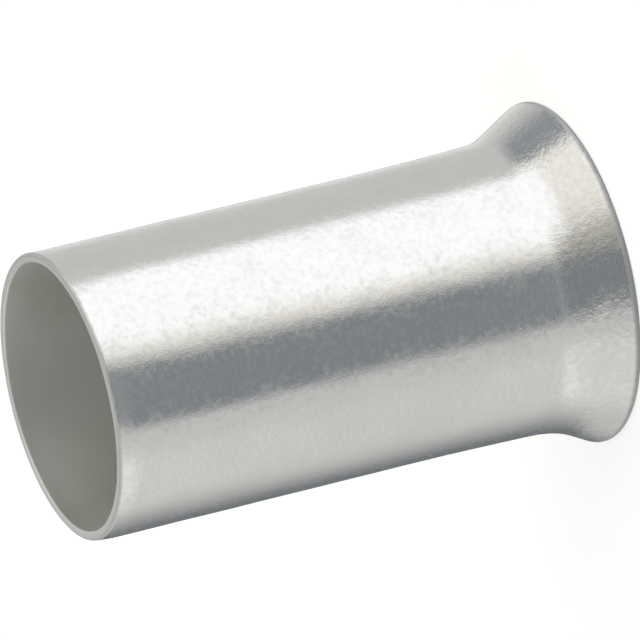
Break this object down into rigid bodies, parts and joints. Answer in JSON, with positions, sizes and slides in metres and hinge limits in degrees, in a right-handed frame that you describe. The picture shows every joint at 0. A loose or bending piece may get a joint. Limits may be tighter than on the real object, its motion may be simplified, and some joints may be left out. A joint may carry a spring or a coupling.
{
  "type": "wire ferrule",
  "caption": "Bare tin-plated copper end sleeve for a stranded conductor: a thin straight tube, cut square at one end and flared into a funnel at the other.",
  "frame": {"origin": "centre of the circle on which the funnel's lip stands", "axes": "+Z along the bore axis, from the funnel's lip to the plain end; the part is round, so X and Y are free"},
  "size_m": [0.0074, 0.0074, 0.0117],
  "materials": {
    "tinned_copper": "satin tin plating over copper"
  },
  "bodies": {
    "root": {"sleeve": "tinned_copper"}
  },
  "joints": []
}
